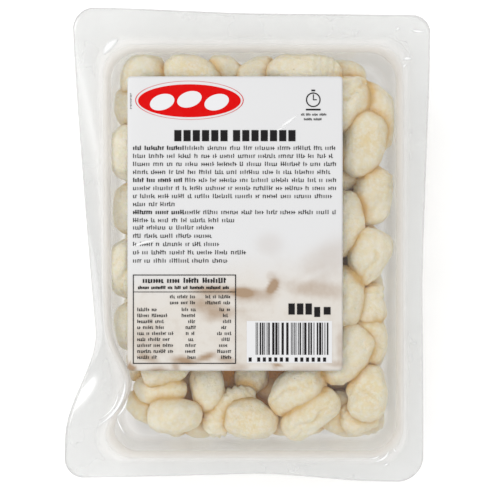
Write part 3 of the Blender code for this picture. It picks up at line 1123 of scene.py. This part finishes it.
def print_marks():
    """Every dark mark of the label's layout, as rectangles in label millimetres."""
    chance = np.random.default_rng(21)
    boxes = []
    # Heading: two words of plain blocks.
    for start, count in ((19.8, 6), (44.6, 7)):
        boxes += [(x, 22.7, x + 3.0, 27.4) for x in (start + 3.9 * np.arange(count)).tolist()]
    # Paragraph, then the short lines under it.
    ends = [88, 88, 88, 88, 88, 88, 88, 22, 88, 47]
    for k, end in enumerate(ends):
        bold = 1.5 if k in (0, 4, 8) else 1.0
        start = 2.4
        if bold > 1:
            boxes += word_marks(start, start + 21, 30.4 + 3.39 * k, 1.5, chance, bold)
            start += 22
        boxes += word_marks(start, end, 30.4 + 3.39 * k, 1.5, chance)
    for k, end in enumerate((36, 36, 38, 52, 42)):
        boxes += word_marks(2.4, end, 64.0 + 3.5 * k, 1.5, chance)
    # Table: its frame, heading and rows of three columns.
    left, top, right, bottom, line = 2.3, 83.7, 45.9, 121.4, 0.4
    boxes += [(left, top, right, top + line), (left, 90.9, right, 91.2), (left, bottom - line, right, bottom)]
    boxes += [(left, top, left + line, bottom), (right - line, top, right, bottom)]
    boxes += word_marks(6.5, 42, 86.4, 1.8, chance, 1.9)
    boxes += word_marks(4.5, 43, 89.3, 1.1, chance, 1.4)
    for k in range(2):
        boxes += word_marks(18, 28, 93.2 + 2.5 * k, 1.2, chance)
        boxes += word_marks(33, 43.5, 93.2 + 2.5 * k, 1.2, chance)
    for k in range(9):
        middle = 98.6 + 2.52 * k
        boxes += word_marks(4.2, 4.2 + chance.uniform(6, 15), middle, 1.2, chance)
        boxes += word_marks(28.5 - chance.uniform(2.5, 6), 28.5, middle, 1.2, chance)
        boxes += word_marks(43.5 - chance.uniform(2.5, 6), 43.5, middle, 1.2, chance)
    # Weight: plain blocks.
    boxes += [(x, 95.9, x + 2.7, 100.6) for x in (68.0, 71.6, 75.2)]
    boxes += [(78.9, 97.4, 81.4, 101.6), (82.9, 97.4, 85.8, 100.6)]
    # Bars of uneven width, and a row of small marks under them.
    x = 54.2
    while x < 85:
        wide = chance.choice([0.33, 0.33, 0.66, 0.99])
        boxes.append((x, 104, x + wide, 117.6))
        x += wide + chance.choice([0.33, 0.33, 0.66, 0.99])
    for start, count in ((51.2, 1), (54.8, 6), (70.6, 6)):
        boxes += [(start + 2.4 * k, 118.7, start + 2.4 * k + 1.3, 120.5) for k in range(count)]
    # Timer: foot, knob and hands, with two lines under it.
    boxes += [(75.4, 13.7, 81.6, 14.4), (77.7, 5.6, 79.3, 6.3)]
    boxes += [(78.35, 7.6, 78.75, 10.0), (78.4, 9.7, 80.0, 10.1)]
    boxes += word_marks(73.4, 84, 16.2, 0.8, chance, 0.8)
    boxes += word_marks(74.6, 83, 18.2, 0.8, chance, 0.8)
    # Small upright marks by the left edge.
    boxes += [(1.1, 7.2 + 0.62 * k, 1.8 - 0.25 * (k % 3 == 0), 7.45 + 0.62 * k) for k in range(11)]
    return boxes


def printed(name, surfaces, material, ink):
    """A printed piece: flat shapes given a body as thick as the ink."""
    made = mesh_object(name, joined(surfaces), material, smooth=False)
    thicken(made, ink, 1)
    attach(made, "root")
    return made


# ---------------------------------------------------------------- film folds


# Folds pressed into the film where it crumples, drawn white as painted highlights: (start, bend, end, width,
# height) in millimetres.
FILM_FOLDS = [
    ((-51.8, -57.0), (-51.2, -69.5), (-64.5, -77.5), 1.5, 0.55),
    ((-54.5, -62.0), (-55.5, -70.5), (-63.0, -74.0), 0.8, 0.3),
    ((-50.6, -64.6), (-51.8, -70.0), (-55.6, -73.0), 1.1, 0.4),
    ((-55.3, -72.5), (-54.4, -77.0), (-51.4, -80.8), 0.7, 0.25),
    ((59.8, -87.2), (58.8, -91.4), (53.2, -91.9), 1.3, 0.5),
    ((56.0, -89.4), (54.8, -90.6), (50.5, -91.0), 0.7, 0.3),
    ((57.6, -93.6), (58.6, -93.2), (59.8, -92.6), 0.8, 0.35),
    ((61.6, -86.2), (62.2, -87.2), (63.0, -88.2), 0.7, 0.3),
    ((62.6, 90.2), (63.6, 91.4), (64.6, 92.0), 0.9, 0.35),
    ((69.0, 90.6), (72.0, 90.2), (75.6, 89.9), 1.2, 0.3),
    ((65.8, 78.4), (67.6, 79.2), (69.6, 78.4), 1.5, 0.5),
    ((65.6, 74.8), (66.4, 75.6), (67.4, 76.6), 0.8, 0.3),
    ((-61.0, 80.2), (-58.5, 85.0), (-54.6, 87.0), 3.4, 0.7),
]


# Creases that catch the light on the label, drawn white as painted highlights, given in the same way.
LABEL_CREASES = [
    ((-50.0, -1.6), (-44.0, 1.2), (-38.0, 1.9), 1.5, 0.25),
    ((13.4, 49.2), (17.0, 51.5), (21.4, 55.0), 1.7, 0.2),
    ((8.0, 47.4), (12.5, 47.6), (17.0, 50.4), 1.1, 0.15),
]


def fold_surface(start, bend, end, width, height, level, steps=26, around=12):
    """A crease on a sheet: a flat lens-shaped section carried along a curve.

    The curve runs from start to end, drawn towards the bend, and lies at the height that level gives. The
    section narrows to almost nothing at both ends.
    """
    t = np.linspace(0.02, 0.98, steps)[:, None]
    a, b, c = (np.array(p) * MM for p in (start, bend, end))
    path = (1 - t) ** 2 * a + 2 * t * (1 - t) * b + t**2 * c
    way = 2 * (1 - t) * (b - a) + 2 * t * (c - b)
    way = way / np.linalg.norm(way, axis=-1, keepdims=True)
    side = np.stack([-way[:, 1], way[:, 0]], axis=-1)
    size = np.sin(math.pi * t) ** 0.5
    angle = np.linspace(0, 2 * math.pi, around, endpoint=False)[None, :]
    across = size * width * MM / 2 * np.cos(angle)
    flat = path[:, None, :] + side[:, None, :] * across[..., None]
    base = level(flat[..., 0], flat[..., 1])
    z = base + size * height * MM / 2 * (0.6 + np.sin(angle))
    rings = np.concatenate([flat, z[..., None]], axis=-1)
    # Painted highlight: haze here is the white's strength, greatest along the fold's middle and fading to its
    # sides and ends.
    haze = 0.95 * size * np.clip(1 - np.abs(np.cos(angle)), 0, 1) ** 0.6
    return ring_surface(rings, rings[0].mean(0), rings[-1].mean(0), haze=haze)


def seat_level(x, y):
    """Height of the film's upper face, over the cavity and on the flange round it."""
    pack = bpy.context.scene.pack_sizes
    on_flange = smooth_step(-rim_inset(x, y) / (10 * MM))
    return film_level(x, y, pack.slack) + pack.film + flange_wave(x, y) * on_flange


# ---------------------------------------------------------------- operators


class GNOCCHI_OT_tray(bpy.types.Operator):
    """Draws the thermoformed tray: floor, drawn wall, rounded rim and waved flange"""

    bl_idname = "gnocchi.tray"
    bl_label = "Tray"

    def execute(self, context):
        rings = []
        for share in (0.3, 0.6):
            shift = ((1 - share) * 2 * MM, -(1 - share) * 3 * MM, 0)
            ring = cavity_ring(0, TRAY_WALL) * (share, share, 1) + shift
            ring[:, 2] = TRAY_WALL
            rings.append(ring)
        for turn in np.linspace(0, math.pi / 2, 8):
            inset = RIM_BEND + DRAFT + FLOOR_FILLET * (1 - math.sin(turn))
            rings.append(cavity_ring(inset, TRAY_WALL + FLOOR_FILLET * (1 - math.cos(turn))))
        foot, shoulder = TRAY_WALL + FLOOR_FILLET, TRAY_DEPTH - RIM_BEND
        for share in np.linspace(0, 1, 10)[1:-1]:
            height = foot + (shoulder - foot) * share
            ring = cavity_ring(float(wall_inset(height)), height)
            # Shallow ribs run up the wall.
            ring[:, :2] *= (1 - 0.0022 * np.sin(np.arange(len(ring)) * 0.55) ** 4)[:, None]
            rings.append(ring)
        for turn in np.linspace(math.pi / 2, 0, 9):
            bend = cavity_ring(RIM_BEND * math.sin(turn), TRAY_DEPTH - RIM_BEND * (1 - math.cos(turn)))
            bend[:, 2] += 0.35 * MM * math.sin(2 * turn)
            rings.append(bend)
        rim_rows = len(rings)
        for share in np.linspace(0, 1, 15)[1:]:
            ring = flange_ring(share)
            # The sealed band is pressed a little lower than the strips beside it.
            ring[:, 2] -= 0.12 * MM * math.exp(-(((share - 0.35) / 0.16) ** 2))
            rings.append(ring)
        rings = np.stack(rings)
        step = ring_numbers(rings)
        # Painted reflection: a band round the rim is tinted beige and made a little milkier, where the dough
        # shows in the plastic.
        rim = 0.75 * np.exp(-(((step - rim_rows + 5) / 6) ** 2))
        edge = 0.04 * smooth_step((step - len(rings) + 2.5) / 2)
        flange = 0.16 * smooth_step((step - rim_rows) / 3)
        wall = 0.2 * smooth_step((step - 8) / 4) * smooth_step((rim_rows + 1 - step) / 3)
        surface = ring_surface(rings, rings[0].mean(0), haze=edge + flange + wall + 0.1 * rim, rim=rim)
        plastic = plastic_material("tray_plastic", 0.15, 0.0, 0.2, glossy=False)
        tray = mesh_object("clear_tray", surface, plastic)
        thicken(tray, TRAY_WALL, -1)
        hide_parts("tray")
        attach(tray, "root")
        return {"FINISHED"}


class GNOCCHI_OT_film(bpy.types.Operator):
    """Draws the lidding film, drawn over the gnocchi and sealed to the flange, and its folds with their
    painted highlights
    """

    bl_idname = "gnocchi.film"
    bl_label = "Lidding film"

    def execute(self, context):
        pack = context.scene.pack_sizes
        rim = cavity_ring(0, TRAY_DEPTH)
        middle = np.array([(RIM_LEFT + RIM_RIGHT) / 2, (RIM_BOTTOM + RIM_TOP) / 2, TRAY_DEPTH])
        rings = []
        for share in np.linspace(0.04, 0.97, 34):
            ring = middle + (rim - middle) * share
            ring[:, 2] = film_level(ring[:, 0], ring[:, 1], pack.slack)
            rings.append(ring)
        over = len(rings)
        rings += [flange_ring(share) + (0, 0, FILM_GAP) for share in np.linspace(0, 1, 14)]
        rings = np.stack(rings)
        step = ring_numbers(rings)
        haze = 0.1 * smooth_step((step - over) / 2)
        film = mesh_object(
            "clear_film",
            ring_surface(rings, rings[0].mean(0), haze=haze, rim=haze * 0),
            plastic_material("film_plastic", 0.03, 0.05, 0.2),
        )
        thicken(film, pack.film, 1)
        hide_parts("lidding_film")
        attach(film, "root")

        folds = joined([fold_surface(*fold, seat_level) for fold in FILM_FOLDS])
        crumple = mesh_object("film_fold_highlights", folds, fold_highlight_material())
        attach(crumple, "root")
        return {"FINISHED"}


class GNOCCHI_OT_heap(bpy.types.Operator):
    """Draws every gnocco, the hidden core of painted shade under them and the flour on them"""

    bl_idname = "gnocchi.heap"
    bl_label = "Gnocchi"

    def execute(self, context):
        dough = dough_material("potato_dough")
        upper, lower = build_heap()
        pieces = [
            mesh_object("gnocchi_by_the_film", joined(upper), dough),
            mesh_object("gnocchi_below", joined(lower), dough),
            mesh_object("heap_core", core_surface(), dough_material("heap_shade")),
            mesh_object("flour_clumps", crumbs(upper, 90, 8), dough_material("flour_clump")),
        ]
        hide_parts("gnocchi_heap")
        for piece in pieces:
            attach(piece, "root")
        return {"FINISHED"}


class GNOCCHI_OT_label(bpy.types.Operator):
    """Draws the label's sheet on the film, and its creases with their painted highlights"""

    bl_idname = "gnocchi.label"
    bl_label = "Label"

    def execute(self, context):
        pack = context.scene.pack_sizes
        low, high = np.array(LABEL_LOW[:2]), np.array(LABEL_HIGH[:2])
        middle, half = (low + high) / 2, (high - low) / 2
        signs = np.array([(-1, -1), (1, -1), (1, 1), (-1, 1)])
        rings = []
        for share in np.linspace(0.02, 1, 52):
            flat = outline(middle + half * signs * share, [LABEL_CORNER * share] * 4, arc=6, side=76)
            level = label_level(flat[:, 0], flat[:, 1]) - pack.label
            rings.append(np.column_stack([flat, level]))
        rings = np.stack(rings)
        shade = picture_shade(rings[..., 0], rings[..., 1])
        sheet = ring_surface(rings, rings[0].mean(0), shade=shade)
        label = mesh_object("label_sheet", sheet, label_material())
        thicken(label, pack.label, 1)
        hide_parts("label")
        creases = joined([fold_surface(*fold, label_level) for fold in LABEL_CREASES])
        crease = mesh_object("label_crease_highlights", creases, fold_highlight_material())
        for piece in (label, crease):
            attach(piece, "root")
        return {"FINISHED"}


class GNOCCHI_OT_print(bpy.types.Operator):
    """Draws the label's print: a red field, a white ground for the bars, and unreadable dark marks"""

    bl_idname = "gnocchi.print"
    bl_label = "Print"

    def execute(self, context):
        colours = context.scene.pack_colours
        ink = context.scene.pack_sizes.ink
        red = [oval((26.2, 10.3), (21.7, 6.95)), oval((26.2, 10.1), (22.9, 8.2), hole=0.985)]
        white = [marks([(50.4, 103.3, 86.4, 121.0)])]
        for dx, dy in ((-11.5, 0.6), (0, -0.6), (11.5, 0.6)):
            white.append(oval((26.2 + dx, 10.3 + dy), (5.3, 3.3), 2.2, turn=0.3))
        dark = [marks(print_marks(), 2.2), oval((78.5, 9.9), (3.1, 3.1), 1.5, hole=0.84)]
        printed("print_red", red, plain_material("red_ink", colours.red, 0.35), ink)
        printed("print_white", white, plain_material("white_ink", (0.76, 0.76, 0.77), 0.4), ink)
        printed("print_dark", dark, plain_material("dark_ink", colours.ink, 0.45), ink)
        return {"FINISHED"}


class GNOCCHI_OT_stage(bpy.types.Operator):
    """Sets up the pale floor, the camera above the pack, the white surround and the soft lamps"""

    bl_idname = "gnocchi.stage"
    bl_label = "Stage"

    def execute(self, context):
        scene = context.scene
        stage = scene.pack_stage
        grid = np.linspace(-1, 1, 5) * 1.5
        x, y = np.meshgrid(grid, grid)
        points = np.stack([x, y, np.full_like(x, -0.2 * MM)], axis=-1).reshape(-1, 3)
        cell = (np.arange(4)[:, None] * 5 + np.arange(4)[None, :]).reshape(-1, 1)
        surface = {
            "points": points,
            "quads": cell + np.array([0, 1, 6, 5]),
            "tris": np.zeros((0, 3), int),
            "values": {},
        }
        paper, tree, shader = new_material("floor_paper", 0.9, 0.2)
        shader.inputs["Base Color"].default_value = (0.93, 0.93, 0.93, 1)
        shader.inputs["Emission Color"].default_value = (1, 1, 1, 1)
        shader.inputs["Emission Strength"].default_value = stage.glow
        floor = mesh_object("floor", surface, paper)

        aim = Vector((1.06, -2.33, 34)) * MM
        camera = bpy.data.objects.new("camera", bpy.data.cameras.new("camera"))
        camera.data.lens = stage.lens
        camera.data.sensor_width = 36
        distance = stage.seen_width * stage.lens / camera.data.sensor_width
        camera.location = aim + Vector((0, 0, distance))
        camera.data.clip_start = 0.01
        scene.collection.objects.link(camera)
        scene.camera = camera

        self.lamp(scene, "key", Vector((-0.54, 0.24, 0.62)), aim, 0.26, stage.key_power)
        self.lamp(scene, "fill", Vector((0.15, -0.1, 0.95)), aim, 0.7, stage.fill_power)

        world = bpy.data.worlds.new("surround")
        world.use_nodes = True
        scene.world = world
        sky = world.node_tree.nodes["Background"]
        sky.inputs["Color"].default_value = (1, 1, 1, 1)
        sky.inputs["Strength"].default_value = stage.surround
        scene.view_settings.view_transform = "Standard"
        return {"FINISHED"}

    def lamp(self, scene, name, place, aim, size, power):
        """A square white area lamp that points at the pack."""
        data = bpy.data.lights.new(name, "AREA")
        data.size = size
        data.energy = power
        made = bpy.data.objects.new(name, data)
        made.location = place
        made.rotation_euler = (aim - place).to_track_quat("-Z", "Y").to_euler()
        scene.collection.objects.link(made)


class GNOCCHI_PT_pack(bpy.types.Panel):
    """Lists the pack's pieces, sizes and colours"""

    bl_idname = "GNOCCHI_PT_pack"
    bl_label = "Gnocchi pack"
    bl_space_type = "VIEW_3D"
    bl_region_type = "UI"
    bl_category = "Gnocchi pack"

    def draw(self, context):
        for operator in STEPS:
            self.layout.operator(operator.bl_idname)
        for group in GROUPS:
            box = self.layout.box()
            for key in GROUPS[group].__annotations__:
                box.prop(getattr(context.scene, group), key)


STEPS = (
    GNOCCHI_OT_tray,
    GNOCCHI_OT_film,
    GNOCCHI_OT_heap,
    GNOCCHI_OT_label,
    GNOCCHI_OT_print,
    GNOCCHI_OT_stage,
)
GROUPS = {
    "gnocchi_sizes": GnocchiSizes,
    "pack_sizes": PackSizes,
    "pack_colours": PackColours,
    "pack_stage": StageSettings,
}


def register():
    """Adds the settings, operators and panel to Blender."""
    for name, group in GROUPS.items():
        bpy.utils.register_class(group)
        setattr(bpy.types.Scene, name, PointerProperty(type=group))
    for made in (*STEPS, GNOCCHI_PT_pack):
        bpy.utils.register_class(made)


def unregister():
    """Takes them out again."""
    for made in (GNOCCHI_PT_pack, *reversed(STEPS)):
        bpy.utils.unregister_class(made)
    for name, group in GROUPS.items():
        delattr(bpy.types.Scene, name)
        bpy.utils.unregister_class(group)


def main():
    register()
    for step in STEPS:
        space, name = step.bl_idname.split(".")
        getattr(getattr(bpy.ops, space), name)()


if __name__ == "__main__":
    main()
